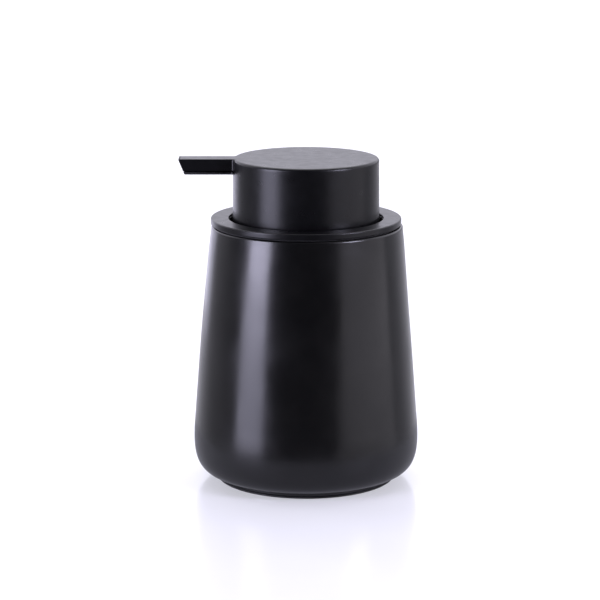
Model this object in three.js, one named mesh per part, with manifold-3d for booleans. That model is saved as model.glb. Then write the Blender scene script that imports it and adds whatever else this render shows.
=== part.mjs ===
// Soap pump dispenser: a stoneware bottle, a lift-out lid, and a lotion pump under a flat round head.
// Millimetres, +Z up. The origin is the centre of the base pad's underside, and the spout points to -X.

import * as THREE from 'three';
import { mergeVertices } from 'three/addons/utils/BufferGeometryUtils.js';
import Module from 'manifold-3d';

const wasm = await Module();
wasm.setup();

// Driving dimensions

const BIG = 36; // facets round the large turned pieces
const SMALL = 24; // facets round the small turned pieces
const STROKE = 11; // how far the head presses down
const PART_GAP = 0.3; // clearance between pieces that sit against each other

const HEAD = { topZ: 120, r: 26.8, skirtR: 26.95, edgeR: 1.1, wall: 1.7, top: 2, skirtZ: 94 };
const SPOUT = { tipX: -46.4, lowTipX: -44.3, width: 7.9, bottomZ: 114.3, wall: 1.2, partingZ: 115.5 };
const COLLAR = { topZ: 98, bottomZ: 95.7, r: 35, edgeR: 0.5, holeR: 28.4, rebateR: 30.2, rebateZ: 97.2 };
const CUP = { innerR: 28.4, r: 29.9, topZ: 96.9, floorZ: 82, floor: 1.8 };
const NECK = { r: 12, boreR: 9.6, topZ: 91.8, threadR: 0.8, threadPitch: 3.6, threadTurns: 1.75 };
const BOTTLE = {
  rimZ: 95.2, rimR: 35.2, mouthR: 31.5, mouthDepth: 17, outerLipR: 0.8, innerLipR: 1, wall: 4.3,
  taper: 0.0847, bow: 0.187, bellyZ: 25, floorZ: 6.5, floorR: 25, footCurveR: 33.4, footCurveZ: 2.3,
  footR: 33.2, footZ: 1, recessR: 27.3, recessZ: 2.1,
};
const PAD = {
  r: 33, rimZ: 0.7, middleR: 27, height: 1.8, grooveWidth: 2, grooveDepth: 0.5, grooves: [14, 23],
};
const HOUSING = {
  r: 7.3, boreR: 6.2, flangeR: 11.9, flangeZ: 92.6, topZ: 93.5, ledgeZ: 56,
  cageR: 3, cageZ: 51.2, portR: 1.5, portZ: 49.5, socketR: 3.2, socketTopZ: 47.4, bottomZ: 36, ventR: 0.6,
};
const TUBE = { r: 3, boreR: 2, topZ: 47, bottomZ: 8.8, cutAngle: Math.PI / 6 };
const GUIDE = {
  boreR: 3.75, sleeveR: 6, sleeveZ: 88.8, discR: 11, discZ: 93.6, discTopZ: 94.5, bossR: 5.2, topZ: 96.4,
};
const CAP = {
  r: 14.6, boreR: 13.2, holeR: 5.6, bottomZ: 83.5, ceilingZ: 94.7, topZ: 96.2, ribs: 24, ribDepth: 0.5,
};
const STEM = {
  r: 3.5, lowerR: 3.2, boreR: 1.7, bottomZ: 79.2, collarR: 4.9, collarZ: 86.8, collarTopZ: 88.4,
  portZ: 84.6, portR: 0.7, throatR: 1.2, throatZ: 108.2, seatZ: 109.2,
  cageR: 2.2, cageZ: 110.4, topZ: 113.6,
};
const SEAT = { r: 4.9, bottomZ: 76.5, shoulderZ: 78.3, topZ: 78.9, pinR: 1.4, pinTopZ: 83 };
const PISTON = { boreR: 3.4, r: 6.05, waistR: 5, bottomZ: 79.2, height: 6.2, lip: 0.6 };
const SPRING = { coilR: 4.35, wireR: 0.45, turns: 6.5, bottomZ: 56.4, topZ: 76.2 };
const ACTUATOR = {
  coreR: 6.6, bottomZ: 107.8, topZ: 117.5, ceilingZ: 114, socketR: 3.75,
  plateZ: 112.6, plateTopZ: 113.8, rimR: 24.6, rimWall: 1.2, rimZ: 105,
};
const CHANNEL = {
  z: 115.9, boreR: 0.9, spigotR: 1.25, spigotX: -3.9, innerX: -6.9, outletX: -42.3, outletR: 1.5,
};
const BALL_GAP = 0.05; // clearance between a resting ball and its conical seat
const INLET_BALL_R = 2.4;
const OUTLET_BALL_R = 1.9;

// Shape helpers

function arc(centreR, centreZ, radius, fromDeg, toDeg, steps) {
  const points = [];
  for (let i = 0; i <= steps; i++) {
    const angle = THREE.MathUtils.degToRad(fromDeg + ((toDeg - fromDeg) * i) / steps);
    points.push([centreR + radius * Math.cos(angle), centreZ + radius * Math.sin(angle)]);
  }
  return points;
}

// Turns an outline of [radius, z] points about Z. It runs outwards along the bottom and up the outside.
function turned(outline, facets) {
  const points = outline.map(([r, z]) => new THREE.Vector2(r, z));
  return new THREE.LatheGeometry(points, facets).rotateX(Math.PI / 2);
}

// Turns an outline that encloses an area clear of the axis.
function ring(outline, facets) {
  return turned([...outline, outline[0]], facets);
}

function toSolid(geometry) {
  const bare = geometry.clone();
  bare.deleteAttribute('normal');
  bare.deleteAttribute('uv');
  const merged = mergeVertices(bare, 1e-4);
  const vertProperties = Float32Array.from(merged.attributes.position.array);
  const triVerts = Uint32Array.from(merged.index.array);
  return new wasm.Manifold(new wasm.Mesh({ numProp: 3, vertProperties, triVerts }));
}

function toGeometry(solid) {
  const mesh = solid.getMesh();
  const geometry = new THREE.BufferGeometry();
  geometry.setAttribute('position', new THREE.BufferAttribute(mesh.vertProperties, 3));
  geometry.setIndex(new THREE.BufferAttribute(mesh.triVerts, 1));
  geometry.computeVertexNormals();
  return geometry;
}

function cut(body, tools) {
  return toGeometry(tools.reduce((solid, tool) => solid.subtract(toSolid(tool)), toSolid(body)));
}

function join(body, additions) {
  return toGeometry(additions.reduce((solid, addition) => solid.add(toSolid(addition)), toSolid(body)));
}

function rodAlongX(radius, fromX, toX, z) {
  const rod = new THREE.CylinderGeometry(radius, radius, toX - fromX, SMALL / 2);
  return rod.rotateZ(Math.PI / 2).translate((fromX + toX) / 2, 0, z);
}

function rodAlongZ(radius, x, fromZ, toZ) {
  const rod = new THREE.CylinderGeometry(radius, radius, toZ - fromZ, SMALL / 2);
  return rod.rotateX(Math.PI / 2).translate(x, 0, (fromZ + toZ) / 2);
}

// Extrudes a side-view outline of [x, z] points across Y, centred on Y = 0.
function slab(outline, width) {
  const shape = new THREE.Shape(outline.map(([x, z]) => new THREE.Vector2(x, z)));
  const block = new THREE.ExtrudeGeometry(shape, { depth: width, bevelEnabled: false });
  return block.rotateX(Math.PI / 2).translate(0, width / 2, 0);
}

// A round section swept along a helix about Z.
function coil({ radius, wireR, bottomZ, topZ, turns, stepsPerTurn, sides }) {
  const steps = Math.round(turns * stepsPerTurn);
  const points = [];
  for (let i = 0; i <= steps; i++) {
    const angle = (2 * Math.PI * i) / stepsPerTurn;
    const z = bottomZ + ((topZ - bottomZ) * i) / steps;
    points.push(new THREE.Vector3(radius * Math.cos(angle), radius * Math.sin(angle), z));
  }
  const section = new THREE.Shape();
  section.absarc(0, 0, wireR, 0, 2 * Math.PI);
  const extrudePath = new THREE.CatmullRomCurve3(points);
  const curveSegments = sides / 2;
  return new THREE.ExtrudeGeometry(section, { steps, extrudePath, curveSegments, bevelEnabled: false });
}

// The height of a ball's centre when it rests in a cone that widens upwards from its throat.
function ballRestZ(radius, throatR, throatZ, mouthR, mouthZ) {
  const slope = Math.atan2(mouthR - throatR, mouthZ - throatZ);
  return throatZ + (radius + BALL_GAP - throatR * Math.cos(slope)) / Math.sin(slope);
}

// Bottle and base pad

function bottleWallR(z) {
  const span = BOTTLE.rimZ - BOTTLE.bellyZ;
  const u = (BOTTLE.rimZ - z) / span;
  return BOTTLE.rimR + BOTTLE.taper * (BOTTLE.rimZ - z) + 4 * BOTTLE.bow * u * (1 - u);
}

// The curve from the low foot ring out to the belly, below which the bottle is widest.
function bottleFootCurve() {
  const { footCurveR, footCurveZ, bellyZ, taper } = BOTTLE;
  const footSlope = THREE.MathUtils.degToRad(4.8);
  const footPull = 9.24;
  const bellyPull = 12.27;
  const bellyR = bottleWallR(bellyZ);
  const foot = new THREE.Vector2(footCurveR, footCurveZ);
  const footLead = new THREE.Vector2(Math.cos(footSlope), Math.sin(footSlope)).multiplyScalar(footPull);
  const curve = new THREE.CubicBezierCurve(
    foot,
    foot.clone().add(footLead),
    new THREE.Vector2(bellyR + bellyPull * taper, bellyZ - bellyPull),
    new THREE.Vector2(bellyR, bellyZ),
  );
  return curve.getPoints(10).map(({ x, y }) => [x, y]);
}

function makeBottle() {
  const { rimZ, rimR, mouthR, mouthDepth, outerLipR, innerLipR, wall, bellyZ } = BOTTLE;
  const { floorZ, floorR, footR, footZ, recessR, recessZ } = BOTTLE;
  const neckZ = rimZ - mouthDepth;
  const bellyInnerR = bottleWallR(bellyZ) - wall;
  const cornerR = bellyInnerR - floorR;
  const heights = [42, 59, 76];
  return turned([
    [0, recessZ], [recessR, recessZ], [recessR, footZ], [footR - 0.2, footZ], [footR, footZ + 0.2],
    ...bottleFootCurve(),
    ...heights.map((z) => [bottleWallR(z), z]),
    ...arc(bottleWallR(rimZ - outerLipR) - outerLipR, rimZ - outerLipR, outerLipR, 0, 90, 4),
    ...arc(mouthR + innerLipR, rimZ - innerLipR, innerLipR, 90, 180, 3),
    [mouthR, neckZ],
    [bottleWallR(neckZ - wall) - wall, neckZ - wall],
    [bottleWallR(50) - wall, 50],
    [bellyInnerR, bellyZ],
    ...arc(floorR, floorZ + cornerR, cornerR, 0, -90, 5),
    [0, floorZ],
  ], BIG);
}

// A disc under the foot ring, raised in the middle to fill the ring's recess. Its underside has shallow
// ring grooves round a plain middle.
function makeBasePad() {
  const { r, rimZ, middleR, height, grooveWidth, grooveDepth, grooves } = PAD;
  const underside = grooves.flatMap((start) => [
    [start, 0], [start, grooveDepth], [start + grooveWidth, grooveDepth], [start + grooveWidth, 0],
  ]);
  return turned([
    [0, 0], ...underside, [r - PART_GAP, 0], [r, PART_GAP], [r, rimZ],
    [middleR, rimZ], [middleR, height], [0, height],
  ], BIG);
}

// Lid and seals

// The flat ring that shows round the head. A rebate in its underside takes the cup's wall.
function makeCollarRing() {
  const { topZ, bottomZ, r, edgeR, holeR, rebateR, rebateZ } = COLLAR;
  const lowEdgeR = 0.4;
  const holeEdgeR = 0.5;
  return ring([
    [holeR, rebateZ], [rebateR, rebateZ], [rebateR, bottomZ],
    ...arc(r - lowEdgeR, bottomZ + lowEdgeR, lowEdgeR, -90, 0, 1),
    ...arc(r - edgeR, topZ - edgeR, edgeR, 0, 90, 3),
    ...arc(holeR + holeEdgeR, topZ - holeEdgeR, holeEdgeR, 90, 180, 2),
  ], BIG);
}

// A deep cup with a threaded neck in its floor. Its wall hangs from the collar ring.
function makeLidCup() {
  const { innerR, r, topZ, floorZ, floor } = CUP;
  const cornerR = 0.8;
  const cup = ring([
    [NECK.boreR, floorZ - floor],
    ...arc(r - cornerR, floorZ - floor + cornerR, cornerR, -90, 0, 2),
    [r, topZ], [innerR, topZ],
    ...arc(innerR - cornerR, floorZ + cornerR, cornerR, 0, -90, 2),
    [NECK.r, floorZ], [NECK.r, NECK.topZ], [NECK.boreR, NECK.topZ],
  ], BIG);
  const threadTopZ = NECK.topZ - 2 * NECK.threadR;
  const thread = coil({
    radius: NECK.r, wireR: NECK.threadR, bottomZ: threadTopZ - NECK.threadPitch * NECK.threadTurns,
    topZ: threadTopZ, turns: NECK.threadTurns, stepsPerTurn: SMALL, sides: 6,
  });
  return join(cup, [thread]);
}

// A flange under the collar ring, and a sleeve whose two lips grip the bottle's mouth.
function makeMouthSeal() {
  const innerR = CUP.r + PART_GAP;
  const sleeveR = innerR + 0.6;
  const lipR = BOTTLE.mouthR - PART_GAP;
  const sleeveBottomZ = 84;
  const flangeR = 34.3;
  const flangeZ = BOTTLE.rimZ + 0.1;
  const flangeTopZ = COLLAR.bottomZ - 0.1;
  const lips = [87, 91].flatMap((z) => [[sleeveR, z - 0.6], [lipR, z], [sleeveR, z + 0.6]]);
  return ring([
    [innerR, sleeveBottomZ], [sleeveR, sleeveBottomZ], ...lips,
    [sleeveR, flangeZ], [flangeR, flangeZ], [flangeR, flangeTopZ], [innerR, flangeTopZ],
  ], BIG);
}

function makeFlangeGasket() {
  const innerR = HOUSING.r + 0.9;
  const bottomZ = NECK.topZ + 0.1;
  const topZ = HOUSING.flangeZ - 0.1;
  return ring([
    [innerR, bottomZ], [HOUSING.flangeR, bottomZ], [HOUSING.flangeR, topZ], [innerR, topZ],
  ], SMALL);
}

// Pump body, which hangs in the cup's neck

function makeHousing() {
  const { r, boreR, flangeR, flangeZ, topZ, ledgeZ, cageR, cageZ } = HOUSING;
  const { portR, portZ, socketR, socketTopZ, bottomZ, ventR } = HOUSING;
  const socketOuterR = socketR + 1.4;
  const housing = ring([
    [socketR, bottomZ], [socketOuterR, bottomZ], [socketOuterR, portZ - 3.5], [r, portZ + 2.5],
    [r, flangeZ], [flangeR, flangeZ], [flangeR, topZ], [boreR, topZ],
    [boreR, ledgeZ], [cageR, ledgeZ], [cageR, cageZ],
    [portR, portZ], [portR, socketTopZ], [socketR, socketTopZ],
  ], SMALL);
  const ventZ = STEM.collarTopZ - 2;
  return cut(housing, [rodAlongX(ventR, -r - 1, r + 1, ventZ)]);
}

// The disc is clamped under the cap, the sleeve steadies the stem, and the sleeve's end stops it.
function makeStemGuide() {
  const { boreR, sleeveR, sleeveZ, discR, discZ, discTopZ, bossR, topZ } = GUIDE;
  return ring([
    [boreR, sleeveZ], [sleeveR, sleeveZ], [sleeveR, discZ], [discR, discZ],
    [discR, discTopZ], [bossR, discTopZ], [bossR, topZ], [boreR, topZ],
  ], SMALL);
}

// A screw cap with grip ribs round its skirt.
function makeClosureCap() {
  const { r, boreR, holeR, bottomZ, ceilingZ, topZ, ribs, ribDepth } = CAP;
  const cornerR = 0.8;
  const cap = ring([
    [boreR, bottomZ], [r, bottomZ],
    ...arc(r - cornerR, topZ - cornerR, cornerR, 0, 90, 2),
    [holeR, topZ], [holeR, ceilingZ], [boreR, ceilingZ],
  ], BIG);
  const points = [];
  for (let i = 0; i < ribs * 2; i++) {
    const angle = (Math.PI * i) / ribs;
    const ribR = r + (i % 2 ? -ribDepth / 2 : ribDepth);
    points.push(new THREE.Vector2(ribR * Math.cos(angle), ribR * Math.sin(angle)));
  }
  const outline = new THREE.Shape(points);
  outline.holes.push(new THREE.Path().absarc(0, 0, (r + boreR) / 2, 0, 2 * Math.PI, true));
  const grip = new THREE.ExtrudeGeometry(outline, {
    depth: topZ - bottomZ - 3, bevelEnabled: false, curveSegments: SMALL,
  });
  return join(cap, [grip.translate(0, 0, bottomZ + 1)]);
}

// A straight tube whose lower end is cut at a slant so that it can't seal against the floor.
function makeDipTube() {
  const { r, boreR, topZ, bottomZ, cutAngle } = TUBE;
  const tube = ring([[boreR, bottomZ], [r, bottomZ], [r, topZ], [boreR, topZ]], SMALL);
  const size = 4 * r;
  const wedge = new THREE.BoxGeometry(size, size, size).translate(0, 0, -size / 2);
  wedge.rotateY(cutAngle).translate(0, 0, bottomZ + r * Math.tan(cutAngle));
  return cut(tube, [wedge]);
}

function makeReturnSpring() {
  const { coilR, wireR, turns, bottomZ, topZ } = SPRING;
  return coil({
    radius: coilR, wireR, turns, bottomZ: bottomZ + wireR, topZ: topZ - wireR, stepsPerTurn: 12, sides: 6,
  });
}

function makeBall(radius, z) {
  return new THREE.SphereGeometry(radius, 16, 12).rotateX(Math.PI / 2).translate(0, 0, z);
}

function makeInletBall() {
  const { portR, portZ, cageR, cageZ } = HOUSING;
  return makeBall(INLET_BALL_R, ballRestZ(INLET_BALL_R, portR, portZ, cageR, cageZ));
}

// Plunger: stem, piston seat and piston

function makeStem() {
  const { r, lowerR, boreR, bottomZ, collarR, collarZ, collarTopZ } = STEM;
  const { portZ, portR, throatR, throatZ, seatZ, cageR, cageZ, topZ } = STEM;
  const stem = ring([
    [boreR, bottomZ], [lowerR, bottomZ], [lowerR, collarZ], [collarR, collarZ], [collarR, collarTopZ],
    [r, collarTopZ], [r, topZ], [cageR, topZ], [cageR, cageZ], [throatR, seatZ], [throatR, throatZ],
    [boreR, throatZ - 0.6],
  ], SMALL);
  return cut(stem, [rodAlongX(portR, -r - 1, r + 1, portZ)]);
}

function makePistonSeat() {
  const { r, bottomZ, shoulderZ, topZ, pinR, pinTopZ } = SEAT;
  return turned([
    [0, bottomZ], [r, bottomZ], [r, shoulderZ], [STEM.lowerR, topZ],
    [pinR, topZ], [pinR, pinTopZ], [0, pinTopZ],
  ], SMALL);
}

// A sleeve that floats a little on the stem, with a wiping lip at each end.
function makePiston() {
  const { boreR, r, waistR, bottomZ, height, lip } = PISTON;
  const topZ = bottomZ + height;
  const edge = 0.15;
  return ring([
    [boreR, bottomZ], [r - edge, bottomZ], [r, bottomZ + lip], [waistR, bottomZ + 3 * lip],
    [waistR, topZ - 3 * lip], [r, topZ - lip], [r - edge, topZ], [boreR, topZ],
  ], SMALL);
}

function makeOutletBall() {
  const { throatR, seatZ, cageR, cageZ } = STEM;
  return makeBall(OUTLET_BALL_R, ballRestZ(OUTLET_BALL_R, throatR, seatZ, cageR, cageZ));
}

// Head: actuator, spout channel and outer shell

// The actuator takes the stem in its core and carries the shell on its rim.
function makeActuator() {
  const { coreR, bottomZ, topZ, ceilingZ, socketR, plateZ, plateTopZ, rimR, rimWall, rimZ } = ACTUATOR;
  const riserR = 1.1;
  const riserTopZ = CHANNEL.z + 0.5;
  const body = turned([
    [0, riserTopZ], [riserR, riserTopZ], [riserR, ceilingZ], [socketR, ceilingZ], [socketR, bottomZ],
    [coreR, bottomZ], [coreR, plateZ], [rimR - rimWall, plateZ], [rimR - rimWall, rimZ],
    [rimR, rimZ], [rimR, plateTopZ], [coreR, plateTopZ], [coreR, topZ], [0, topZ],
  ], BIG);
  const socket = rodAlongX(CHANNEL.spigotR + 0.15, -coreR - 1, CHANNEL.spigotX + PART_GAP, CHANNEL.z);
  const passage = rodAlongX(CHANNEL.boreR, CHANNEL.spigotX - 1, 0, CHANNEL.z);
  return cut(body, [socket, passage]);
}

function spoutEndX(z) {
  const { tipX, lowTipX, bottomZ } = SPOUT;
  return lowTipX + ((tipX - lowTipX) * (z - bottomZ)) / (HEAD.topZ - bottomZ);
}

// The insert that closes the spout from below: a visible sole, and a rib that holds the passage.
function makeSpoutChannel() {
  const { width, bottomZ, wall, partingZ } = SPOUT;
  const { z, boreR, spigotR, spigotX, innerX, outletX, outletR } = CHANNEL;
  const soleTopZ = partingZ - PART_GAP;
  const soleInnerX = -HEAD.r - PART_GAP;
  const ribTopZ = HEAD.topZ - HEAD.top - PART_GAP;
  const ribWidth = width - 2 * wall - 2 * PART_GAP;
  const endWall = wall + PART_GAP;
  const sole = slab([
    [spoutEndX(bottomZ), bottomZ], [soleInnerX, bottomZ],
    [soleInnerX, soleTopZ], [spoutEndX(soleTopZ), soleTopZ],
  ], width);
  const rib = slab([
    [spoutEndX(bottomZ) + endWall, bottomZ], [innerX, bottomZ], [innerX, ribTopZ],
    [spoutEndX(ribTopZ) + endWall, ribTopZ],
  ], ribWidth);
  const spigot = rodAlongX(spigotR, innerX - 1, spigotX, z);
  const passage = rodAlongX(boreR, outletX, spigotX + 1, z);
  const outlet = rodAlongZ(outletR, outletX, bottomZ - 1, z + boreR / 2);
  return cut(join(sole, [rib, spigot]), [passage, outlet]);
}

// A drawn cap with a spout cover, open along its underside, on its front wall.
function makeHeadShell() {
  const { topZ, r, skirtR, edgeR, wall, top, skirtZ } = HEAD;
  const { width, partingZ, bottomZ } = SPOUT;
  const innerR = r - wall;
  const shell = turned([
    [0, topZ - top], [innerR, topZ - top], [innerR, skirtZ],
    [skirtR - PART_GAP, skirtZ], [skirtR, skirtZ + PART_GAP],
    ...arc(r - edgeR, topZ - edgeR, edgeR, 0, 90, 4),
    [0, topZ],
  ], BIG);
  const rootX = -r + 1.2;
  const cover = slab([
    [spoutEndX(partingZ), partingZ], [rootX, partingZ], [rootX, topZ], [spoutEndX(topZ), topZ],
  ], width);
  const ceilingZ = topZ - top;
  const cavity = slab([
    [spoutEndX(bottomZ - PART_GAP) + SPOUT.wall, bottomZ - PART_GAP],
    [rootX + 2, bottomZ - PART_GAP], [rootX + 2, ceilingZ], [spoutEndX(ceilingZ) + SPOUT.wall, ceilingZ],
  ], width - 2 * SPOUT.wall);
  return cut(join(shell, [cover]), [cavity]);
}

// Assembly

const finishes = {
  blackGlaze: { color: 0x0b0b0c, roughness: 0.32, metalness: 0 },
  blackCoat: { color: 0x0d0d0f, roughness: 0.38, metalness: 0 },
  blackPlastic: { color: 0x121214, roughness: 0.45, metalness: 0 },
  blackRubber: { color: 0x171719, roughness: 0.8, metalness: 0 },
  clearRubber: { color: 0xc9ccce, roughness: 0.55, metalness: 0 },
  naturalPlastic: { color: 0xe6e7e4, roughness: 0.4, metalness: 0 },
  whitePlastic: { color: 0xf1f1ee, roughness: 0.4, metalness: 0 },
  steel: { color: 0xb9bcc0, roughness: 0.25, metalness: 1 },
};

function piece(name, geometry, finish) {
  const mesh = new THREE.Mesh(geometry, new THREE.MeshStandardMaterial(finishes[finish]));
  mesh.name = name;
  return mesh;
}

const group = new THREE.Group();
group.add(
  piece('bottle', makeBottle(), 'blackGlaze'),
  piece('base_pad', makeBasePad(), 'blackRubber'),
  piece('collar_ring', makeCollarRing(), 'blackCoat'),
  piece('lid_cup', makeLidCup(), 'blackPlastic'),
  piece('mouth_seal', makeMouthSeal(), 'blackRubber'),
  piece('flange_gasket', makeFlangeGasket(), 'clearRubber'),
  piece('pump_housing', makeHousing(), 'naturalPlastic'),
  piece('stem_guide', makeStemGuide(), 'whitePlastic'),
  piece('closure_cap', makeClosureCap(), 'blackPlastic'),
  piece('dip_tube', makeDipTube(), 'naturalPlastic'),
  piece('return_spring', makeReturnSpring(), 'steel'),
  piece('inlet_ball', makeInletBall(), 'steel'),
  piece('stem', makeStem(), 'whitePlastic'),
  piece('piston_seat', makePistonSeat(), 'whitePlastic'),
  piece('piston', makePiston(), 'naturalPlastic'),
  piece('outlet_ball', makeOutletBall(), 'steel'),
  piece('actuator', makeActuator(), 'blackPlastic'),
  piece('spout_channel', makeSpoutChannel(), 'blackPlastic'),
  piece('head_shell', makeHeadShell(), 'blackCoat'),
);

export default group;
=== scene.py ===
import math

import bmesh
import bpy
from mathutils import Matrix, Vector, noise


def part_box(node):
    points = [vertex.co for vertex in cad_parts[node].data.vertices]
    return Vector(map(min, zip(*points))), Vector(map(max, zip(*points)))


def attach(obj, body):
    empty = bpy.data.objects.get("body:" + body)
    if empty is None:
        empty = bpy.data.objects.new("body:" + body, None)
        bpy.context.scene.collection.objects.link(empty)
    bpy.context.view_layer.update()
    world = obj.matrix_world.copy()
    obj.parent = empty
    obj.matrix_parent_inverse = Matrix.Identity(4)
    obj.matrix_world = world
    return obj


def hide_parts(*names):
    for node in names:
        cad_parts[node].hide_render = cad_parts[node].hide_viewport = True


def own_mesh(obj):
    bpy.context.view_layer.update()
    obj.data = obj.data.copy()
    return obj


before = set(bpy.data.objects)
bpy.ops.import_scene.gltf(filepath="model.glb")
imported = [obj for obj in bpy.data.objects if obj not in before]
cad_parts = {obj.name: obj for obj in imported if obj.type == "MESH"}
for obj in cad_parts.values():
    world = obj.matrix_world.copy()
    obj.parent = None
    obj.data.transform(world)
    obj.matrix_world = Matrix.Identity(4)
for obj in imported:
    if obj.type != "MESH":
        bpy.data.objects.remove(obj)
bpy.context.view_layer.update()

# Soap pump dispenser. Lengths in outlines are millimetres and are turned to metres where a mesh is made.

MM = 0.001
TURNS = 192  # faces round a turned piece
SHARP_ANGLE = math.radians(35)


def span(node):
    """Largest radius, lowest z and highest z of a node that stands round the axis, in millimetres."""
    low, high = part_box(node)
    return high[0] / MM, low[2] / MM, high[2] / MM


# Outlines


def arc(centre, radius, start, end, steps):
    angles = [math.radians(start + (end - start) * i / steps) for i in range(steps + 1)]
    return [(centre[0] + radius * math.cos(a), centre[1] + radius * math.sin(a)) for a in angles]


def rounded(corners, steps=7):
    """An outline through corners of (r, z) or (r, z, fillet), with an arc where there is a fillet."""
    points = []
    for i, corner in enumerate(corners):
        here = Vector(corner[:2])
        if len(corner) < 3:
            points.append(tuple(here))
            continue
        radius = corner[2]
        before = (Vector(corners[i - 1][:2]) - here).normalized()
        after = (Vector(corners[(i + 1) % len(corners)][:2]) - here).normalized()
        half = before.angle(after) / 2
        reach = radius / math.tan(half)
        centre = here + (before + after).normalized() * radius / math.sin(half)
        first = here + before * reach - centre
        last = here + after * reach - centre
        sweep = first.angle_signed(last)
        hold = 0.2 * radius + 0.03  # a short straight run that keeps the arc's shading off the flat
        points.append(tuple(here + before * (reach + hold)))
        for k in range(steps + 1):
            turned = Matrix.Rotation(-sweep * k / steps, 2) @ first
            points.append(tuple(centre + turned))
        points.append(tuple(here + after * (reach + hold)))
    return points


def turn(name, outline, closed=True, ripple=None, turns=TURNS):
    """Turns an outline about Z. It runs outwards along the bottom and up the outside, as in the CAD part."""
    vertices = []
    rings = []
    for r, z in outline:
        if r < 1e-6:
            rings.append([len(vertices)])
            vertices.append((0, 0, z * MM))
            continue
        ring = []
        for k in range(turns):
            angle = 2 * math.pi * k / turns
            point = Vector((r * math.cos(angle), r * math.sin(angle), z))
            if ripple:
                point += ripple(point, r)
            ring.append(len(vertices))
            vertices.append(point * MM)
        rings.append(ring)
    if closed:
        rings.append(rings[0])
    return new_object(name, vertices, bands(rings))


def bands(rings):
    """The faces between each ring of vertices and the next. A ring on the axis is a single vertex."""
    faces = []
    for low, high in zip(rings, rings[1:]):
        count = max(len(low), len(high))
        for k in range(count):
            n = (k + 1) % count
            if len(low) == 1:
                faces.append((low[0], high[n], high[k]))
            elif len(high) == 1:
                faces.append((low[k], low[n], high[0]))
            else:
                faces.append((low[k], low[n], high[n], high[k]))
    return faces


def new_object(name, vertices, faces):
    mesh = bpy.data.meshes.new(name)
    mesh.from_pydata([tuple(v) for v in vertices], [], faces)
    mesh.shade_smooth()
    mesh.set_sharp_from_angle(angle=SHARP_ANGLE)
    obj = bpy.data.objects.new(name, mesh)
    bpy.context.scene.collection.objects.link(obj)
    return obj


def place(obj, body, slot, node):
    """Gives a piece its finish and its body, and hides the CAD node that it stands in for."""
    obj.data.materials.append(FINISH[slot])
    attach(obj, body)
    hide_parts(node)


# Solids


def combine(obj, tool, operation):
    """Joins or cuts a mesh with another one, which is used up."""
    modifier = obj.modifiers.new("combine", "BOOLEAN")
    modifier.object = tool
    modifier.operation = operation
    modifier.solver = "MANIFOLD"
    bpy.context.view_layer.update()
    evaluated = obj.evaluated_get(bpy.context.evaluated_depsgraph_get())
    mesh = bpy.data.meshes.new_from_object(evaluated)
    mesh.materials.clear()
    obj.modifiers.remove(modifier)
    old = obj.data
    obj.data = mesh
    bpy.data.meshes.remove(old)
    bpy.data.objects.remove(tool)
    obj.data.shade_smooth()
    obj.data.set_sharp_from_angle(angle=SHARP_ANGLE)
    return obj


def prism(name, outline, low_y, high_y):
    """A side-view outline of (x, z) points, extruded across Y."""
    count = len(outline)
    vertices = [(x * MM, y * MM, z * MM) for y in (low_y, high_y) for x, z in outline]
    faces = [tuple(range(count)), tuple(range(2 * count - 1, count - 1, -1))]
    faces += [(i, i + count, (i + 1) % count + count, (i + 1) % count) for i in range(count)]
    return outward(new_object(name, vertices, faces))


def rod(name, start, end, radius, sides=32):
    """A round tool between two points, in millimetres."""
    axis = Vector(end) - Vector(start)
    turned = axis.to_track_quat("Z", "Y").to_matrix()
    vertices = []
    for base in (Vector(start), Vector(end)):
        for k in range(sides):
            angle = 2 * math.pi * k / sides
            offset = Vector((radius * math.cos(angle), radius * math.sin(angle), 0))
            vertices.append((base + turned @ offset) * MM)
    faces = [tuple(range(sides)), tuple(range(2 * sides - 1, sides - 1, -1))]
    faces += bands([range(sides), range(sides, 2 * sides)])
    return outward(new_object(name, vertices, faces))


def helix(name, radius, wire, heights, steps_per_turn=40, sides=14):
    """A round wire wound about Z. Heights holds the height of the wire's centre at each turn."""
    turns = len(heights) - 1
    steps = turns * steps_per_turn
    vertices = []
    rings = []
    for i in range(steps + 1):
        at = i / steps_per_turn
        whole = min(int(at), turns - 1)
        z = heights[whole] + (heights[whole + 1] - heights[whole]) * (at - whole)
        angle = 2 * math.pi * at
        rings.append(range(len(vertices), len(vertices) + sides))
        for k in range(sides):
            around = 2 * math.pi * k / sides
            reach = radius + wire * math.cos(around)
            height = z + wire * math.sin(around)
            vertices.append(Vector((reach * math.cos(angle), reach * math.sin(angle), height)) * MM)
    faces = [tuple(rings[0]), tuple(rings[-1])] + bands(rings)
    return outward(new_object(name, vertices, faces))


def outward(obj):
    """Turns every face of a closed mesh to face out."""
    work = bmesh.new()
    work.from_mesh(obj.data)
    bmesh.ops.recalc_face_normals(work, faces=work.faces)
    work.to_mesh(obj.data)
    work.free()
    return obj


# Materials


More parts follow.
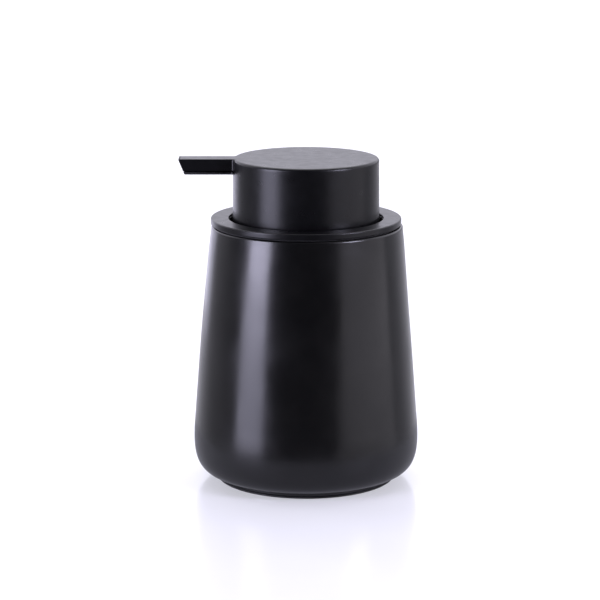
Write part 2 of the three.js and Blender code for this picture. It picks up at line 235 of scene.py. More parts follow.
class Graph:
    """A node material with a Principled shader, and short names for the nodes that the finishes share."""

    def __init__(self, name, **values):
        self.material = bpy.data.materials.new(name)
        self.material.use_nodes = True
        self.tree = self.material.node_tree
        self.shader = self.tree.nodes["Principled BSDF"]
        self.place = self.node("ShaderNodeTexCoord").outputs["Object"]
        for socket, value in values.items():
            self.shader.inputs[socket.replace("_", " ")].default_value = value

    def node(self, kind, **settings):
        made = self.tree.nodes.new(kind)
        for key, value in settings.items():
            setattr(made, key, value)
        return made

    def join(self, output, socket):
        self.tree.links.new(output, socket)

    def noise(self, size_mm, detail, stretch=(1, 1, 1)):
        """Noise with features about size_mm across, pulled out along an axis whose stretch is under 1."""
        mapping = self.node("ShaderNodeMapping")
        mapping.inputs["Scale"].default_value = stretch
        self.join(self.place, mapping.inputs["Vector"])
        made = self.node("ShaderNodeTexNoise")
        made.inputs["Scale"].default_value = 1 / (size_mm * MM)
        made.inputs["Detail"].default_value = detail
        self.join(mapping.outputs["Vector"], made.inputs["Vector"])
        return made.outputs["Fac"]

    def colours(self, value, low, high):
        ramp = self.node("ShaderNodeValToRGB")
        for stop, position, colour in zip(ramp.color_ramp.elements, (0.35, 0.65), (low, high)):
            stop.position = position
            stop.color = (*colour, 1)
        self.join(value, ramp.inputs["Fac"])
        self.join(ramp.outputs["Color"], self.shader.inputs["Base Color"])

    def roughness(self, value, low, high):
        made = self.node("ShaderNodeMapRange")
        for key, number in (("From Min", 0.3), ("From Max", 0.7), ("To Min", low), ("To Max", high)):
            made.inputs[key].default_value = number
        self.join(value, made.inputs["Value"])
        self.join(made.outputs["Result"], self.shader.inputs["Roughness"])

    def bumps(self, *layers):
        """Each layer is (value, height in mm)."""
        normal = None
        for value, height in layers:
            bump = self.node("ShaderNodeBump")
            bump.inputs["Strength"].default_value = 1
            bump.inputs["Distance"].default_value = height * MM
            self.join(value, bump.inputs["Height"])
            if normal:
                self.join(normal, bump.inputs["Normal"])
            normal = bump.outputs["Normal"]
        self.join(normal, self.shader.inputs["Normal"])
        return self.material


def black_glaze():
    """Satin stoneware glaze: gentle waves from throwing, fine orange peel, and a few duller clouds."""
    g = Graph("black_glaze", IOR=1.5)
    g.colours(g.noise(9, 3), (0.0014, 0.0014, 0.0016), (0.0026, 0.0025, 0.0025))
    g.roughness(g.noise(14, 4), 0.19, 0.27)
    waves = g.noise(16, 1, stretch=(1, 1, 0.6))
    peel = g.noise(1.1, 2)
    return g.bumps((waves, 0.10), (peel, 0.004))


def black_coat():
    """Even satin coating with a very fine grain."""
    g = Graph("black_coat", IOR=1.38)
    g.colours(g.noise(6, 2), (0.0016, 0.0016, 0.0020), (0.0024, 0.0024, 0.0030))
    g.roughness(g.noise(3.5, 3), 0.27, 0.33)
    return g.bumps((g.noise(0.35, 2), 0.0022), (g.noise(8, 1), 0.006))


def black_plastic():
    g = Graph("black_plastic", IOR=1.5)
    g.colours(g.noise(4, 2), (0.010, 0.010, 0.011), (0.014, 0.014, 0.015))
    g.roughness(g.noise(2, 3), 0.38, 0.48)
    return g.bumps((g.noise(0.3, 3), 0.004))


def black_silicone():
    g = Graph("black_silicone", IOR=1.42)
    g.colours(g.noise(5, 3), (0.010, 0.010, 0.011), (0.017, 0.017, 0.018))
    g.roughness(g.noise(1.5, 2), 0.6, 0.75)
    return g.bumps((g.noise(0.4, 2), 0.006))


def clear_silicone():
    g = Graph("clear_silicone", IOR=1.42, Subsurface_Weight=0.4)
    g.shader.inputs["Subsurface Radius"].default_value = (0.004, 0.004, 0.004)
    g.colours(g.noise(4, 2), (0.58, 0.59, 0.60), (0.66, 0.67, 0.68))
    g.roughness(g.noise(1.5, 2), 0.45, 0.6)
    return g.bumps((g.noise(0.4, 2), 0.004))


def natural_plastic():
    """Milky polypropylene that lets a little light through."""
    g = Graph("natural_plastic", IOR=1.49, Subsurface_Weight=0.5)
    g.shader.inputs["Subsurface Radius"].default_value = (0.005, 0.005, 0.005)
    g.colours(g.noise(6, 2), (0.46, 0.47, 0.455), (0.54, 0.55, 0.535))
    g.roughness(g.noise(3, 2), 0.28, 0.4)
    return g.bumps((g.noise(0.8, 2), 0.004))


def white_plastic():
    g = Graph("white_plastic", IOR=1.49, Subsurface_Weight=0.2)
    g.shader.inputs["Subsurface Radius"].default_value = (0.003, 0.003, 0.003)
    g.colours(g.noise(6, 2), (0.80, 0.80, 0.78), (0.86, 0.86, 0.84))
    g.roughness(g.noise(3, 2), 0.3, 0.42)
    return g.bumps((g.noise(0.6, 2), 0.003))


def spring_steel():
    """Drawn wire with fine lengthwise scratches."""
    g = Graph("spring_steel", Metallic=1.0)
    g.colours(g.noise(1.2, 3), (0.48, 0.49, 0.51), (0.62, 0.63, 0.65))
    g.roughness(g.noise(0.6, 3), 0.2, 0.34)
    return g.bumps((g.noise(0.25, 3, stretch=(1, 1, 4)), 0.004))


MAKERS = (
    black_glaze, black_coat, black_plastic, black_silicone,
    clear_silicone, natural_plastic, white_plastic, spring_steel,
)
FINISH = {maker.__name__: maker() for maker in MAKERS}

# Bottle

RIM_R = 35.2
TAPER = 0.0847
BOW = 0.187
BELLY_HEIGHT = 25
BOTTLE_WALL = 4.3
MOUTH_R = 31.5
FOOT_R = 33.2
RECESS_R = 27.3
RECESS_TOP = 2.1
GAP = 0.3  # clearance between pieces that sit against each other


def bezier(points, t):
    weights = ((1 - t) ** 3, 3 * t * (1 - t) ** 2, 3 * t * t * (1 - t), t**3)
    return tuple(sum((w * p for w, p in zip(weights, points)), Vector((0, 0))))


def bottle_outline():
    _, foot_z, rim_z = span("bottle")
    outer_lip = 0.8
    inner_lip = 0.9
    mouth_depth = 17
    floor_z = 6.5
    floor_r = 25
    drop = rim_z - BELLY_HEIGHT

    def wall_r(z):
        u = (rim_z - z) / drop
        rim_inset = 0.25 * max(0.0, (z - 88) / 7) ** 2  # the wall draws in a little over the top 7 mm
        return RIM_R + TAPER * (rim_z - z) + 4 * BOW * u * (1 - u) - rim_inset

    belly_r = wall_r(BELLY_HEIGHT)
    foot = Vector((33.4, 2.3))
    foot_slope = math.radians(4.8)
    foot_pull = 9.24
    belly_pull = 12.27
    curve = (
        foot,
        foot + foot_pull * Vector((math.cos(foot_slope), math.sin(foot_slope))),
        Vector((belly_r + belly_pull * TAPER, BELLY_HEIGHT - belly_pull)),
        Vector((belly_r, BELLY_HEIGHT)),
    )
    outside = [bezier(curve, i / 40) for i in range(1, 41)]
    step = 1.6
    rows = int((rim_z - outer_lip - BELLY_HEIGHT) / step)
    outside += [(wall_r(z), z) for z in (BELLY_HEIGHT + step * i for i in range(1, rows))]

    neck_z = rim_z - mouth_depth
    shoulder_z = neck_z - BOTTLE_WALL
    middle_z = 50
    inside = [
        (MOUTH_R, neck_z, 3),
        (wall_r(shoulder_z) - BOTTLE_WALL, shoulder_z, 3),
        (wall_r(middle_z) - BOTTLE_WALL, middle_z),
        (belly_r - BOTTLE_WALL, floor_z, belly_r - BOTTLE_WALL - floor_r),
        (0, floor_z),
    ]
    rim = [(wall_r(rim_z - outer_lip) + 0.02, rim_z, outer_lip), (MOUTH_R, rim_z, inner_lip)]
    foot_ring = [
        (RECESS_R, RECESS_TOP), (RECESS_R, foot_z, 0.2), (FOOT_R, foot_z, 0.25), (FOOT_R, foot.y, 0.3),
    ]
    return rounded([(0, RECESS_TOP)] + foot_ring + outside + rim + inside)


def thrown(point, r):
    """The slight unevenness of a hand-thrown wall, which leans a little near the rim; none on the inside."""
    inner_r = 33.5
    inner_top = 90
    if r < inner_r and point.z < inner_top:
        return Vector((0, 0, 0))
    share = min(1.0, max(0.0, r - 32.2))  # fades in across the rim's flat
    depth = 0.045 * noise.noise(point / 21) + 0.012 * noise.noise(point / 7)
    lean_z = 58  # the wall is upright below this height
    lean = 0.4 * max(0.0, (point.z - lean_z) / 37) ** 1.5 * share
    return Vector((point.x, point.y, 0)).normalized() * depth * share + Vector((lean, 0, 0))


def make_bottle():
    shell = turn("bottle_shell", bottle_outline(), closed=False, ripple=thrown)
    place(shell, "bottle", "black_glaze", "bottle")


def make_foot_pad():
    """A disc under the foot ring with two ring grooves in its underside."""
    r, bottom, top = span("base_pad")
    middle_r = RECESS_R - GAP
    rim = 0.7
    width = 2
    roof = bottom + 0.5
    corners = [(0, bottom)]
    for start in (14, 23):
        corners += [(start, bottom, 0.15), (start, roof, 0.15)]
        corners += [(start + width, roof, 0.15), (start + width, bottom, 0.15)]
    corners += [(r, bottom, 0.3), (r, rim, 0.15), (middle_r, rim, 0.15), (middle_r, top, 0.2), (0, top)]
    pad = turn("foot_pad", rounded(corners, 4), closed=False)
    place(pad, "bottle", "black_silicone", "base_pad")


# Collar, cup and seal

HOLE_R = 28.4
CUP_R = 29.9
CUP_FLOOR = 82.0
NECK_TOP = 91.8


def make_collar_ring():
    r, bottom, top = span("collar_ring")
    rebate_r = CUP_R + GAP
    rebate_z = span("lid_cup")[2] + GAP
    corners = [
        (HOLE_R, rebate_z, 0.1), (rebate_r, rebate_z, 0.1), (rebate_r, bottom, 0.2),
        (r, bottom, 0.4), (r, top, 0.5), (HOLE_R, top, 0.35),
    ]
    collar = turn("collar_disc", rounded(corners))
    place(collar, "lid", "black_coat", "collar_ring")


def make_lid_cup():
    r, bottom, top = span("lid_cup")
    neck_r = 12
    neck_bore = 9.6
    corners = [
        (neck_bore, bottom, 0.2), (r, bottom, 0.8), (r, top, 0.2), (HOLE_R, top, 0.2),
        (HOLE_R, CUP_FLOOR, 0.9), (neck_r, CUP_FLOOR, 0.5),
        (neck_r, NECK_TOP, 0.3), (neck_bore, NECK_TOP, 0.3),
    ]
    cup = turn("deep_cup", rounded(corners))
    thread_r = 0.8
    pitch = 3.6
    thread_top = NECK_TOP - 2 * thread_r
    thread_low = thread_top - pitch * 2
    thread = helix("thread", neck_r, thread_r, [thread_low, (thread_low + thread_top) / 2, thread_top])
    combine(cup, thread, "UNION")
    place(cup, "lid", "black_plastic", "lid_cup")


def make_mouth_seal():
    """A thin flange with a sleeve whose two lips lean up against the bottle's mouth."""
    r, bottom, top = span("mouth_seal")
    inner = CUP_R + GAP
    sleeve = inner + 0.6
    flange = top - 0.3
    corners = [(inner, bottom, 0.1), (sleeve, bottom, 0.2)]
    for lip_z in (87, 91):
        corners += [(sleeve, lip_z - 0.9, 0.2), (MOUTH_R - GAP, lip_z, 0.2), (sleeve, lip_z + 0.3, 0.1)]
    corners += [(sleeve, flange, 0.1), (r, flange, 0.08), (r, top, 0.08), (inner, top, 0.08)]
    seal = turn("mouth_ring_seal", rounded(corners, 4))
    place(seal, "lid", "black_silicone", "mouth_seal")


# Pump body under the cup


def make_flange_gasket():
    r, bottom, top = span("flange_gasket")
    inner_r = 8.2
    edge = 0.12
    corners = [(inner_r, bottom, edge), (r, bottom, edge), (r, top, edge), (inner_r, top, edge)]
    gasket = turn("flange_washer", rounded(corners, 4), turns=96)
    place(gasket, "lid", "clear_silicone", "flange_gasket")


def make_pump_housing():
    """The pump's barrel: a flange at the top, a ball seat low down and a socket for the tube under it."""
    r, bottom, top = span("pump_housing")
    barrel_r = 7.3
    bore_r = 6.2
    flange_z = 92.6
    ledge_z = 56
    cage_r, cage_z = 3, 51.2
    port_r, port_z = 1.5, 49.5
    socket_r, socket_top = 3.2, 47.4
    socket_outer = 4.6
    vent_z = 86.4
    corners = [
        (socket_r, bottom, 0.2), (socket_outer, bottom, 0.3), (socket_outer, 46, 0.6), (barrel_r, 52, 1.5),
        (barrel_r, flange_z, 0.2), (r, flange_z, 0.15), (r, top, 0.25), (bore_r, top, 0.3),
        (bore_r, ledge_z, 0.2), (cage_r, ledge_z, 0.25), (cage_r, cage_z, 0.1),
        (port_r, port_z, 0.15), (port_r, socket_top, 0.15), (socket_r, socket_top, 0.1),
    ]
    housing = turn("pump_barrel", rounded(corners, 5), turns=120)
    vents = rod("vents", (-barrel_r - 1, 0, vent_z), (barrel_r + 1, 0, vent_z), 0.6)
    combine(housing, vents, "DIFFERENCE")
    place(housing, "lid", "natural_plastic", "pump_housing")


def make_stem_guide():
    """A clamped disc with a sleeve below it and a low boss above it."""
    r, bottom, top = span("stem_guide")
    bore_r = 3.75
    sleeve_r = 6
    boss_r = 5.2
    disc_z, disc_top = 93.6, 94.5
    corners = [
        (bore_r, bottom, 0.15), (sleeve_r, bottom, 0.25), (sleeve_r, disc_z, 0.2), (r, disc_z, 0.15),
        (r, disc_top, 0.2), (boss_r, disc_top, 0.2), (boss_r, top, 0.3), (bore_r, top, 0.2),
    ]
    guide = turn("stem_bushing", rounded(corners, 5), turns=96)
    place(guide, "lid", "white_plastic", "stem_guide")


def make_closure_cap():
    """A screw cap whose skirt carries 24 rounded grip ribs."""
    r, bottom, top = span("closure_cap")
    rib = 0.5
    skirt_r = r - rib
    rib_top = top - 2
    bore_r = 13.2
    hole_r = 5.6
    ceiling = 94.7

    def ribbed(point, point_r):
        if point_r < skirt_r - 0.01 or not bottom + 0.9 < point.z < rib_top + 0.1:
            return Vector((0, 0, 0))
        angle = math.atan2(point.y, point.x)
        height = rib * (0.5 + 0.5 * math.cos(24 * angle)) ** 1.5
        return Vector((point.x, point.y, 0)).normalized() * height

    corners = [
        (bore_r, bottom, 0.15), (skirt_r, bottom, 0.3), (skirt_r, bottom + 0.8), (skirt_r, bottom + 1),
        (skirt_r, rib_top), (skirt_r - 0.02, rib_top + 0.3), (skirt_r - 0.02, top, 0.8),
        (hole_r, top, 0.3), (hole_r, ceiling, 0.2), (bore_r, ceiling, 0.3),
    ]
    cap = turn("screw_cap", rounded(corners, 6), ripple=ribbed, turns=288)
    place(cap, "lid", "black_plastic", "closure_cap")


def make_dip_tube():
    """A tube whose lower end is cut at a slant, low on the side away from the spout."""
    r, bottom, top = span("dip_tube")
    slope = math.tan(math.radians(30))

    def slanted(point, _):
        return Vector((0, 0, (r - point.x) * slope if point.z < bottom + 1 else 0))

    bore_r = 2
    corners = [(bore_r, bottom, 0.12), (r, bottom, 0.12), (r, top, 0.2), (bore_r, top, 0.2)]
    tube = turn("dip_straw", rounded(corners, 4), ripple=slanted, turns=96)
    place(tube, "lid", "natural_plastic", "dip_tube")


def make_return_spring():
    """A compression spring with a closed coil at each end; it shortens as the head is pressed."""
    r, bottom, top = span("return_spring")
    wire = 0.45
    low = bottom + wire
    high = top - wire
    closed = 2 * wire + 0.06
    open_turns = 6
    pitch = (high - low - 2 * closed) / open_turns
    heights = [low] + [low + closed + pitch * i for i in range(open_turns + 1)] + [high]
    spring = helix("coil_spring", r - wire, wire, heights)
    place(spring, "lid", "spring_steel", "return_spring")
    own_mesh(spring)


def make_ball(name, body, node):
    r, bottom, top = span(node)
    steps = 28
    angles = [math.pi * (i / steps - 0.5) for i in range(1, steps)]
    middle = (bottom + top) / 2
    outline = [(0, bottom)] + [(r * math.cos(a), middle + r * math.sin(a)) for a in angles] + [(0, top)]
    ball = turn(name, outline, closed=False, turns=56)
    place(ball, body, "spring_steel", node)


# Plunger and head core

SPIGOT_X = -3.9
PASSAGE_R = 0.9


def make_stem():
    """A hollow rod with a stop collar, a cross port under it and a ball seat at the top."""
    _, bottom, top = span("stem")
    stem_r = 3.5
    lower_r = 3.2
    bore_r = 1.7
    collar_r = 4.9
    collar_z, collar_top = 86.8, 88.4
    throat_r = 1.2
    throat_z, seat_z = 108.2, 109.2
    cage_r, cage_z = 2.2, 110.4
    port_z = 84.6
    corners = [
        (bore_r, bottom, 0.15), (lower_r, bottom, 0.2), (lower_r, collar_z, 0.1), (collar_r, collar_z, 0.2),
        (collar_r, collar_top, 0.2), (stem_r, collar_top, 0.15), (stem_r, top, 0.3), (cage_r, top, 0.2),
        (cage_r, cage_z, 0.15), (throat_r, seat_z, 0.1), (throat_r, throat_z, 0.1), (bore_r, 107.6, 0.1),
    ]
    stem = turn("plunger_stem", rounded(corners, 4), turns=96)
    combine(stem, rod("ports", (-4.5, 0, port_z), (4.5, 0, port_z), 0.7), "DIFFERENCE")
    place(stem, "plunger", "white_plastic", "stem")


def make_piston_seat():
    r, bottom, top = span("piston_seat")
    shoulder_z, shoulder_top = 78.3, 78.9
    pin_r = 1.4
    corners = [
        (0, bottom), (r, bottom, 0.25), (r, shoulder_z, 0.2), (3.2, shoulder_top, 0.1),
        (pin_r, shoulder_top, 0.15), (pin_r, top, 0.3), (0, top),
    ]
    seat = turn("seat_plug", rounded(corners, 4), closed=False, turns=96)
    place(seat, "plunger", "white_plastic", "piston_seat")


def make_piston():
    """A waisted sleeve with a wiping lip at each end."""
    r, bottom, top = span("piston")
    bore_r = 3.4
    waist_r = 5
    lip = 0.6
    corners = [
        (bore_r, bottom, 0.15), (r - 0.15, bottom), (r, bottom + lip, 0.2), (waist_r, bottom + 3 * lip, 0.5),
        (waist_r, top - 3 * lip, 0.5), (r, top - lip, 0.2), (r - 0.15, top), (bore_r, top, 0.15),
    ]
    piston = turn("piston_sleeve", rounded(corners, 5), turns=96)
    place(piston, "piston", "natural_plastic", "piston")


def make_actuator():
    """The plastic core of the head: it holds the stem, feeds the spout and carries the shell on its rim."""
    r, bottom, top = span("actuator")
    core_r = 6.6
    core_z = 107.8
    socket_r = 3.75
    riser_r = 1.1
    riser_top = 116.4
    ceiling = 114
    plate_z, plate_top = 112.6, 113.8
    rim_r = r - 1.2
    passage_z = 115.9
    corners = [
        (0, riser_top), (riser_r, riser_top), (riser_r, ceiling), (socket_r, ceiling, 0.2),
        (socket_r, core_z, 0.3), (core_r, core_z, 0.4), (core_r, plate_z, 0.5), (rim_r, plate_z, 0.6),
        (rim_r, bottom, 0.25), (r, bottom, 0.25), (r, plate_top, 0.5), (core_r, plate_top, 0.5),
        (core_r, top, 0.4), (0, top),
    ]
    core = turn("actuator_core", rounded(corners, 5), closed=False, turns=120)
    socket = rod("socket", (-core_r - 1, 0, passage_z), (SPIGOT_X + GAP, 0, passage_z), 1.4)
    combine(core, socket, "DIFFERENCE")
    combine(core, rod("feed", (-4.9, 0, passage_z), (0, 0, passage_z), PASSAGE_R), "DIFFERENCE")
    place(core, "head", "black_plastic", "actuator")


# Head and spout

SPOUT_FILLET = 1.0
TIP_CORNER = 0.45
PARTING = 1.2  # height of the parting line above the spout's underside
SPOUT_WALL = 1.2
HEAD_EDGE = 1.1
SPOUT_EDGE = 0.38
HEAD_WALL = 1.7
HEAD_FLARE = 0.15  # how much wider the skirt is than the top
HEAD_TOP = 2.0
WALL_STEPS = 208
BRIDGE_STEPS = 20


def spout_sizes():
    head_low, head_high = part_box("head_shell")
    sole_low, sole_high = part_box("spout_channel")
    return {
        "top": head_high[2] / MM,
        "skirt": head_low[2] / MM,
        "r": head_high[0] / MM - HEAD_FLARE - 0.05,
        "tip": head_low[0] / MM - 0.3,
        "bottom": sole_low[2] / MM,
        "half": sole_high[1] / MM,
        "lean": 2.3,
    }


def spout_plan(s, r):
    """The spout's outline in plan, from one root fillet round the tip to the other, for a wall of radius r.

    Each entry is a point, its outward normal, how much of the tip's lean it takes, and how far it is
    from the root fillet's start, from 0 to 1.
    """
    fillet_y = s["half"] + SPOUT_FILLET
    fillet_x = -math.sqrt((r + SPOUT_FILLET) ** 2 - fillet_y**2)
    root = math.atan2(fillet_y, -fillet_x)
    reach = fillet_x - s["tip"]

    def entry(x, y, nx, ny, blend=1.0):
        lean = min(1.0, max(0.0, (fillet_x - x) / reach))
        return Vector((x, y)), Vector((nx, ny)), lean, blend

    half = []
    for i in range(11):
        t = i / 10
        angle = root + (math.pi / 2 - root) * t
        dx, dy = math.cos(angle), math.sin(angle)
        half.append(entry(fillet_x + SPOUT_FILLET * dx, -fillet_y + SPOUT_FILLET * dy, -dx, -dy, t))
    straight = reach - TIP_CORNER
    for i in range(1, 16):
        half.append(entry(fillet_x - straight * i / 16, -s["half"], 0, -1))
    for i in range(7):
        angle = math.radians(-90 - 15 * i)
        dx, dy = math.cos(angle), math.sin(angle)
        half.append(entry(s["tip"] + TIP_CORNER * (1 + dx), -s["half"] + TIP_CORNER * (1 + dy), dx, dy))
    for i in (1, 2):
        half.append(entry(s["tip"], (-s["half"] + TIP_CORNER) * (1 - i / 3), -1, 0))
    flip = Vector((1, -1))
    mirrored = [(point * flip, normal * flip, lean, blend) for point, normal, lean, blend in reversed(half)]
    return half + mirrored, root


def lean_shift(s, z):
    return s["lean"] * (s["top"] - z) / (s["top"] - s["bottom"])


def mesh_of(name, vertices, faces):
    return outward(new_object(name, [v * MM for v in vertices], faces))


def make_head_shell(s):
    """A drawn cap and its spout cover as one skin, with the spout's hollow cut from below."""
    spout, root = spout_plan(s, s["r"])
    wall = []
    for i in range(WALL_STEPS + 1):
        angle = (math.pi - root) * (1 - 2 * i / WALL_STEPS)
        normal = Vector((math.cos(angle), math.sin(angle)))
        wall.append((normal * s["r"], normal, 0.0, 0.0))
    plan = wall + spout[1:-1]
    cover_z = s["bottom"] + PARTING
    low_edge = 0.15
    vertices = []

    def add_ring(heights_and_insets):
        start = len(vertices)
        for (point, normal, lean, _), (z, inset) in zip(plan, heights_and_insets):
            moved = point - normal * inset
            vertices.append(Vector((moved.x + lean * lean_shift(s, z), moved.y, z)))
        return list(range(start, len(vertices)))

    def level(kind, t):
        result = []
        for _, _, _, blend in plan:
            edge = HEAD_EDGE + (SPOUT_EDGE - HEAD_EDGE) * blend**0.6
            low = low_edge * blend
            if kind == "low":
                result.append((cover_z + low * math.sin(t), low * (1 - math.sin(t)) if blend else 0.0))
            elif kind == "side":
                base = cover_z + low_edge
                result.append((base + (s["top"] - edge - base) * t, 0.0))
            elif kind == "edge":
                result.append((s["top"] - edge * (1 - math.sin(t)), edge * (1 - math.cos(t))))
            else:
                result.append((s["top"], edge + t))
        return result

    rings = [add_ring(level("low", math.pi / 2 * i / 3)) for i in range(3)]
    rings += [add_ring(level("side", i / 5)) for i in range(6)]
    rings += [add_ring(level("edge", math.pi / 2 * i / 8)) for i in range(1, 9)]
    rings.append(add_ring(level("top", 0.3)))
    faces = bands(rings) + [tuple(rings[-1])]

    bridge_angles = [-(math.pi - root) - 2 * root * i / BRIDGE_STEPS for i in range(1, BRIDGE_STEPS)]
    bridge = list(range(len(vertices), len(vertices) + len(bridge_angles)))
    vertices += [Vector((s["r"] * math.cos(a), s["r"] * math.sin(a), cover_z)) for a in bridge_angles]
    faces.append(tuple(rings[0][WALL_STEPS:] + [rings[0][0]] + bridge[::-1]))

    inner_r = s["r"] - HEAD_WALL
    ceiling = s["top"] - HEAD_TOP
    skirt_r = s["r"] + HEAD_FLARE
    flare_end = s["skirt"] + 5
    lower = [(s["r"] + HEAD_FLARE * i / 6, cover_z + (flare_end - cover_z) * i / 6) for i in range(1, 6)]
    lower += rounded([
        (skirt_r, flare_end), (skirt_r, s["skirt"], 0.45), (inner_r, s["skirt"], 0.45),
        (inner_r, ceiling, 0.6), (0, ceiling),
    ])[1:-1]
    circle = [math.atan2(normal.y, normal.x) for _, normal, _, _ in wall] + bridge_angles
    skirt = [rings[0][: WALL_STEPS + 1] + bridge]
    for r, z in lower:
        skirt.append(range(len(vertices), len(vertices) + len(circle)))
        vertices += [Vector((r * math.cos(a), r * math.sin(a), z)) for a in circle]
    faces += bands(skirt) + [tuple(skirt[-1])]

    shell = mesh_of("head_cap", vertices, faces)
    inner_tip = s["tip"] + SPOUT_WALL
    hollow_low = s["bottom"] - 0.4
    hollow_end = -s["r"] + 3.6
    hollow = prism("hollow", [
        (inner_tip + lean_shift(s, hollow_low), hollow_low), (hollow_end, hollow_low),
        (hollow_end, ceiling), (inner_tip + lean_shift(s, ceiling), ceiling),
    ], -s["half"] + SPOUT_WALL, s["half"] - SPOUT_WALL)
    combine(shell, hollow, "DIFFERENCE")
    place(shell, "head", "black_coat", "head_shell")


def make_spout_sole(s):
    """The insert that closes the spout: a sole with the same plan, a rib, the passage and its outlet."""
    spout, root = spout_plan(s, s["r"] + GAP)
    plan = list(spout)
    for i in range(1, 16):
        angle = math.pi - root + 2 * root * i / 16
        plan.append(((s["r"] + GAP) * Vector((math.cos(angle), math.sin(angle))), Vector((0, 0)), 0.0, 0.0))
    sole_top = s["bottom"] + PARTING - GAP
    edge = 0.3
    steps = []
    for i in range(6):
        angle = math.pi / 2 * i / 5
        steps.append((s["bottom"] + edge * (1 - math.cos(angle)), edge * (1 - math.sin(angle))))
    steps += [(sole_top - 0.12, 0.0), (sole_top - 0.04, 0.04), (sole_top, 0.12)]
    vertices = []
    rings = []
    for z, inset in steps:
        ring = []
        for point, normal, lean, blend in plan:
            moved = point - normal * inset * min(1.0, blend * 2)
            ring.append(len(vertices))
            vertices.append(Vector((moved.x + lean * lean_shift(s, z), moved.y, z)))
        rings.append(ring)
    sole = mesh_of("spout_sole", vertices, bands(rings) + [tuple(rings[0]), tuple(rings[-1])])

    rib_half = s["half"] - SPOUT_WALL - GAP
    rib_top = s["top"] - HEAD_TOP - GAP
    rib_low = s["bottom"] + 0.5
    inner_end = -6.9
    tip = s["tip"] + SPOUT_WALL + GAP
    outlet_x = s["tip"] + 4.1
    passage_z = s["bottom"] + 1.6
    rib = prism("rib", [
        (tip + lean_shift(s, rib_low), rib_low), (inner_end, rib_low),
        (inner_end, rib_top), (tip + lean_shift(s, rib_top), rib_top),
    ], -rib_half, rib_half)
    combine(sole, rib, "UNION")
    combine(sole, rod("spigot", (inner_end - 1, 0, passage_z), (SPIGOT_X, 0, passage_z), 1.25), "UNION")
    combine(sole, rod("passage", (outlet_x, 0, passage_z), (-3, 0, passage_z), PASSAGE_R), "DIFFERENCE")
    outlet = rod("outlet", (outlet_x, 0, s["bottom"] - 1), (outlet_x, 0, passage_z + 0.5), 1.5)
    combine(sole, outlet, "DIFFERENCE")
    place(sole, "head", "black_plastic", "spout_channel")


make_bottle()
make_foot_pad()
make_collar_ring()
make_lid_cup()
make_mouth_seal()
make_flange_gasket()
make_pump_housing()
make_stem_guide()
make_closure_cap()
make_dip_tube()
make_return_spring()
make_ball("lower_ball", "inlet_ball", "inlet_ball")
make_stem()
make_piston_seat()
make_piston()
make_ball("upper_ball", "outlet_ball", "outlet_ball")
make_actuator()
sizes = spout_sizes()
make_head_shell(sizes)
make_spout_sole(sizes)

# Studio


def floor_material():
    """Pale, faintly glossy tabletop with a painted glow (emission), so that shadows on it stay light."""
    g = Graph("pale_tabletop", IOR=1.42, Emission_Strength=0.40)
    g.shader.inputs["Emission Color"].default_value = (0.97, 0.98, 1, 1)
    g.colours(g.noise(60, 2), (0.50, 0.495, 0.53), (0.52, 0.515, 0.55))
    g.roughness(g.noise(30, 2), 0.12, 0.16)
    return g.bumps((g.noise(20, 2), 0.004))


def painted_reflection_floor_material():
    """A greyer copy of the tabletop that only reflections show, on the object's glossy lower half: a painted
    reflection, darker than the tabletop itself.
    """
    g = Graph("painted_reflection_tabletop", IOR=1.42)
    g.colours(g.noise(60, 2), (0.40, 0.40, 0.42), (0.42, 0.42, 0.44))
    g.roughness(g.noise(30, 2), 0.6, 0.7)
    return g.bumps((g.noise(20, 2), 0.004))


def make_floor():
    """A wide floor that reflections don't show, and a small grey disc just under it that only they show,
    which paints a darker reflection of the floor.
    """

    def disc(name, radius, z):
        count = 96
        angles = [2 * math.pi * k / count for k in range(count)]
        rim = [(radius * math.cos(angle), radius * math.sin(angle), z) for angle in angles]
        return new_object(name, rim, [tuple(range(count))])

    floor = disc("floor", 6.0, 0)
    floor.visible_glossy = False
    floor.visible_shadow = False
    floor.data.materials.append(floor_material())
    # a greyer copy of the floor that only glossy rays see: painted reflection, darker than the floor itself
    mirrored = disc("floor_painted_reflection", 0.11, -MM)
    mirrored.visible_camera = False
    mirrored.visible_diffuse = False
    mirrored.visible_shadow = False
    mirrored.data.materials.append(painted_reflection_floor_material())


def area_light(name, azimuth, distance, z, size, radiance, colour, aim):
    """A rectangular light that faces aim. Azimuth counts from the camera's side, positive to its right."""
    data = bpy.data.lights.new(name, "AREA")
    data.shape = "RECTANGLE"
    data.size, data.size_y = size
    data.energy = radiance * math.pi * size[0] * size[1]
    data.color = colour
    light = bpy.data.objects.new(name, data)
    angle = math.radians(azimuth)
    light.location = (distance * math.sin(angle), -distance * math.cos(angle), z)
    towards = Vector(aim) - light.location
    light.rotation_euler = towards.to_track_quat("-Z", "Y").to_euler()
    light.visible_camera = False
    bpy.context.scene.collection.objects.link(light)


def make_lights():
    """Strips on both sides for the highlights, dim cards on the right, and a light overhead."""
    cool = (0.95, 0.93, 1.2)
    pale = (1.0, 0.96, 1.06)
    rows = (
        ("strip_left_low", -59, 0.8, -0.04, (0.43, 0.16), 4.2, cool, -0.04),
        ("strip_left_high", -56, 0.8, 0.29, (0.36, 0.5), 11.5, cool, 0.29),
        ("glow_back_left", -150, 0.9, 0.1, (0.5, 0.4), 1.0, cool, 0.1),
        ("strip_right_high", 56, 0.8, 0.42, (0.28, 0.35), 15.0, cool, 0.1),
        ("card_right_low", 67, 0.9, -0.16, (1.25, 0.3), 0.36, pale, -0.16),
        ("card_right", 70, 0.9, 0.42, (1.13, 1.0), 0.68, pale, 0.42),
        ("overhead", 180, 0.5, 1.3, (1.4, 1.4), 0.9, (1, 1, 1), 0),
    )
    for name, azimuth, distance, z, size, radiance, colour, aim_z in rows:
        area_light(name, azimuth, distance, z, size, radiance, colour, (0, 0, aim_z))


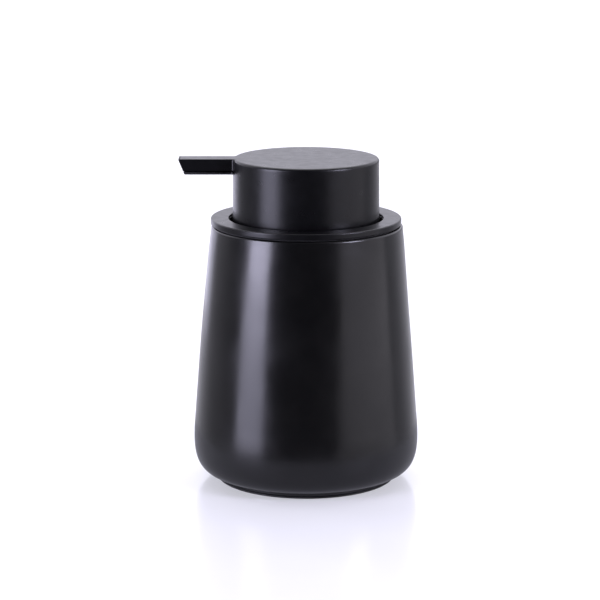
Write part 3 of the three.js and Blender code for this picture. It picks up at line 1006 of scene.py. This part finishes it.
def make_world():
    """White to the camera; for light and reflections bright above the horizon and dim below it."""
    world = bpy.data.worlds.new("studio")
    world.use_nodes = True
    bpy.context.scene.world = world
    nodes = world.node_tree.nodes
    links = world.node_tree.links
    nodes.clear()
    coordinates = nodes.new("ShaderNodeTexCoord")
    axes = nodes.new("ShaderNodeSeparateXYZ")
    links.new(coordinates.outputs["Generated"], axes.inputs["Vector"])

    def ramp(stops):
        """A brightness that changes with the direction's Y, from the front to the back."""
        made = nodes.new("ShaderNodeValToRGB")
        shift = nodes.new("ShaderNodeMapRange")
        shift.inputs["From Min"].default_value = -1
        links.new(axes.outputs["Y"], shift.inputs["Value"])
        links.new(shift.outputs["Result"], made.inputs["Fac"])
        elements = made.color_ramp.elements
        while len(elements) < len(stops):
            elements.new(0.5)
        for element, (position, level) in zip(elements, stops):
            element.position = (position + 1) / 2
            element.color = (level, level * 0.985, level * 1.12, 1)
        return made.outputs["Color"]

    def blend(low, high, start, end):
        """Changes from one colour to another as the direction's height goes from start to end."""
        height = nodes.new("ShaderNodeMapRange")
        height.inputs["From Min"].default_value = start
        height.inputs["From Max"].default_value = end
        links.new(axes.outputs["Z"], height.inputs["Value"])
        mix = nodes.new("ShaderNodeMix")
        mix.data_type = "RGBA"
        links.new(height.outputs["Result"], mix.inputs["Factor"])
        links.new(low, mix.inputs["A"])
        links.new(high, mix.inputs["B"])
        return mix.outputs["Result"]

    below = ramp([(-0.95, 0.06), (-0.3, 0.24), (0, 0.26), (0.5, 0.30), (0.8, 0.5), (1, 0.7)])
    level = ramp([(-0.9, 0.03), (-0.5, 0.06), (0, 0.10), (0.4, 0.34), (0.6, 0.36), (0.9, 0.25)])
    above = ramp([(-1, 0.02), (-0.5, 0.05), (0, 0.3), (0.3, 1)])
    colour = blend(blend(below, level, -0.14, -0.04), above, 0.04, 0.12)
    lit = nodes.new("ShaderNodeBackground")
    lit.inputs["Strength"].default_value = 1.35
    links.new(colour, lit.inputs["Color"])
    seen = nodes.new("ShaderNodeBackground")
    seen.inputs["Color"].default_value = (1, 1, 1, 1)
    path = nodes.new("ShaderNodeLightPath")
    choose = nodes.new("ShaderNodeMixShader")
    links.new(path.outputs["Is Camera Ray"], choose.inputs["Fac"])
    links.new(lit.outputs["Background"], choose.inputs[1])
    links.new(seen.outputs["Background"], choose.inputs[2])
    output = nodes.new("ShaderNodeOutputWorld")
    links.new(choose.outputs["Shader"], output.inputs["Surface"])


def make_camera():
    data = bpy.data.cameras.new("camera")
    data.sensor_width = 36
    data.lens = 150.65
    camera = bpy.data.objects.new("camera", data)
    camera.location = (-0.00222, -0.9079, 0.26385)
    camera.rotation_euler = (math.radians(90 - 12.249), 0, 0)
    bpy.context.scene.collection.objects.link(camera)
    bpy.context.scene.camera = camera


make_floor()
make_lights()
make_world()
make_camera()
bpy.context.scene.view_settings.view_transform = "Standard"
